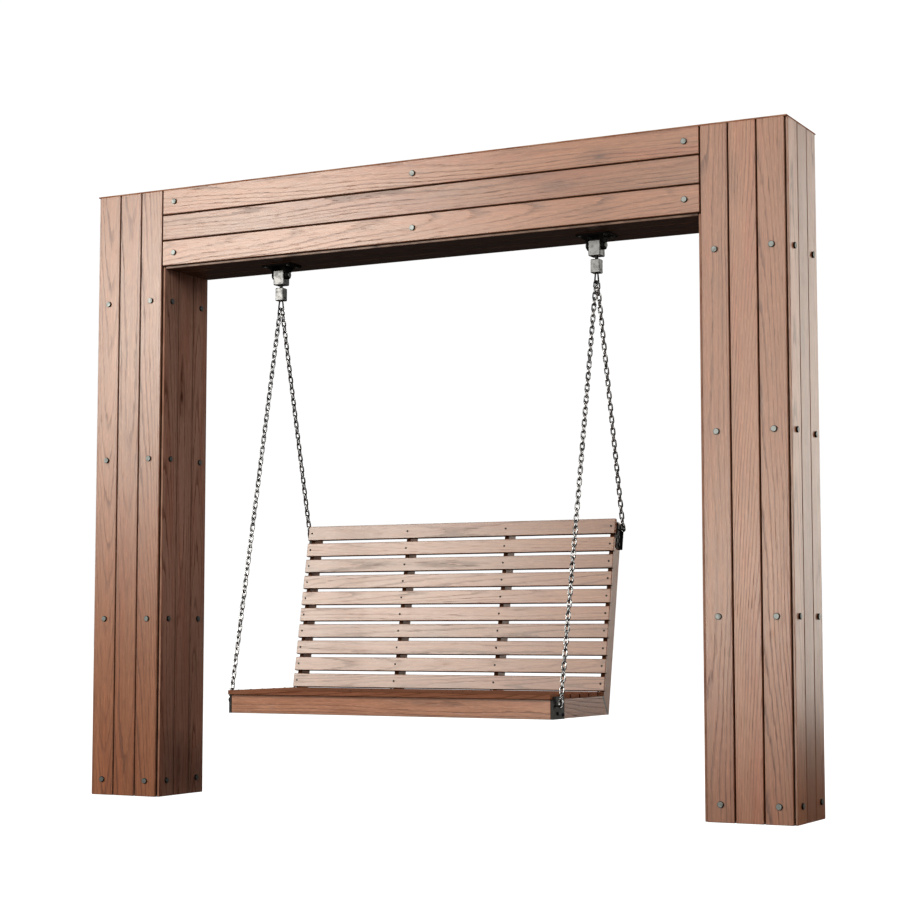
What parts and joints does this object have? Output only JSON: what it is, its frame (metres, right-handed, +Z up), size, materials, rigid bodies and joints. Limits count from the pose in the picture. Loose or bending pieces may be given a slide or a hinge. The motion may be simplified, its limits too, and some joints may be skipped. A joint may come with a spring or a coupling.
{
  "type": "swing sofa",
  "caption": "Slatted timber bench hung by chains from swivelling hangers under a boarded timber portal frame, swinging to and fro.",
  "frame": {"origin": "on the floor, midway between the two posts and midway through their depth: the centre of the ground anchors", "axes": "+X to the sitter's left, along the beam (the right of someone facing the front); +Y from the front of the bench to its back; +Z up"},
  "size_m": [2.925, 0.6431, 2.4],
  "materials": {
    "frame_timber": "oiled reddish oak boards",
    "bench_timber": "oiled reddish oak slats",
    "core_timber": "softwood and plywood, stained black-brown",
    "bolt_steel": "stainless, dull",
    "hanger_steel": "bright machined steel",
    "chain_steel": "polished dark steel chain",
    "dark_steel": "blackened steel",
    "plate_steel": "galvanised plate",
    "bush_bronze": "plain bearing bronze"
  },
  "bodies": {
    "frame": {"post_base_plates": "plate_steel", "post_studs": "core_timber", "post_liners": "core_timber", "post_ribs": "core_timber", "beam_joists": "core_timber", "hanger_bridges": "core_timber", "left_post_front_boards": "frame_timber", "left_post_back_boards": "frame_timber", "left_post_inner_boards": "frame_timber", "left_post_outer_boards": "frame_timber", "right_post_front_boards": "frame_timber", "right_post_back_boards": "frame_timber", "right_post_inner_boards": "frame_timber", "right_post_outer_boards": "frame_timber", "beam_front_boards": "frame_timber", "beam_back_boards": "frame_timber", "beam_soffit_boards": "frame_timber", "top_cap": "frame_timber", "cladding_bolts": "bolt_steel", "hanger_brackets": "dark_steel", "hanger_screws": "bolt_steel", "pivot_pins": "bolt_steel"},
    "left_yoke": {"left_bearing_block": "hanger_steel", "left_pivot_bush": "bush_bronze"},
    "left_clevis": {"left_swivel_shaft": "dark_steel", "left_clevis_block": "hanger_steel", "left_clevis_pin": "dark_steel", "left_hanger_ring": "chain_steel"},
    "left_rear_chain": {"left_rear_chain": "chain_steel"},
    "left_front_chain": {"left_front_chain": "chain_steel"},
    "right_yoke": {"right_bearing_block": "hanger_steel", "right_pivot_bush": "bush_bronze"},
    "right_clevis": {"right_swivel_shaft": "dark_steel", "right_clevis_block": "hanger_steel", "right_clevis_pin": "dark_steel", "right_hanger_ring": "chain_steel"},
    "right_rear_chain": {"right_rear_chain": "chain_steel"},
    "right_front_chain": {"right_front_chain": "chain_steel"},
    "bench": {"front_apron": "bench_timber", "left_side_rail": "bench_timber", "right_side_rail": "bench_timber", "inner_rails": "bench_timber", "left_end_upright": "bench_timber", "right_end_upright": "bench_timber", "inner_uprights": "bench_timber", "front_seat_slat": "bench_timber", "seat_slats": "bench_timber", "back_slat_01": "bench_timber", "back_slat_02": "bench_timber", "back_slat_03": "bench_timber", "back_slat_04": "bench_timber", "back_slat_05": "bench_timber", "back_slat_06": "bench_timber", "back_slat_07": "bench_timber", "back_slat_08": "bench_timber", "back_slat_09": "bench_timber", "back_slat_10": "bench_timber", "chain_plates": "dark_steel", "chain_plate_bolts": "dark_steel", "slat_screws": "dark_steel"}
  },
  "joints": [
    {"name": "swing", "type": "hinge", "parent": "frame", "child": "left_yoke", "pos_m": [-0.677, 0, 2.04], "axis": [1, 0, 0], "range_deg": [-30, 30]},
    {"name": "right_swing", "type": "hinge", "parent": "frame", "child": "right_yoke", "pos_m": [0.677, 0, 2.04], "axis": [1, 0, 0], "range_deg": [-30, 30]},
    {"name": "left_swivel", "type": "hinge", "parent": "left_yoke", "child": "left_clevis", "pos_m": [-0.677, 0, 1.98], "axis": [0, 0, 1], "range_deg": [-4, 4]},
    {"name": "right_swivel", "type": "hinge", "parent": "right_yoke", "child": "right_clevis", "pos_m": [0.677, 0, 1.98], "axis": [0, 0, 1], "range_deg": [-4, 4]},
    {"name": "sway", "type": "hinge", "parent": "left_yoke", "child": "left_rear_chain", "pos_m": [-0.677, 0.0075, 1.90295], "axis": [0, 1, 0], "range_deg": [-6, 6]},
    {"name": "left_front_sway", "type": "hinge", "parent": "left_yoke", "child": "left_front_chain", "pos_m": [-0.677, -0.0075, 1.90295], "axis": [0, 1, 0], "range_deg": [-4, 4]},
    {"name": "right_rear_sway", "type": "hinge", "parent": "right_yoke", "child": "right_rear_chain", "pos_m": [0.677, 0.0075, 1.90295], "axis": [0, 1, 0], "range_deg": [-6, 6]},
    {"name": "right_front_sway", "type": "hinge", "parent": "right_yoke", "child": "right_front_chain", "pos_m": [0.677, -0.0075, 1.90295], "axis": [0, 1, 0], "range_deg": [-4, 4]},
    {"name": "bench_level", "type": "hinge", "parent": "left_rear_chain", "child": "bench", "pos_m": [-0.677, 0.22826, 1.01656], "axis": [0, 1, 0], "range_deg": [-6, 6]}
  ],
  "couplings": [
    {"joint": "right_swing", "follows": "swing", "ratio": 1},
    {"joint": "left_front_sway", "follows": "sway", "ratio": 0.58509},
    {"joint": "right_rear_sway", "follows": "sway", "ratio": 1},
    {"joint": "right_front_sway", "follows": "sway", "ratio": 0.58509},
    {"joint": "bench_level", "follows": "sway", "ratio": -1}
  ]
}
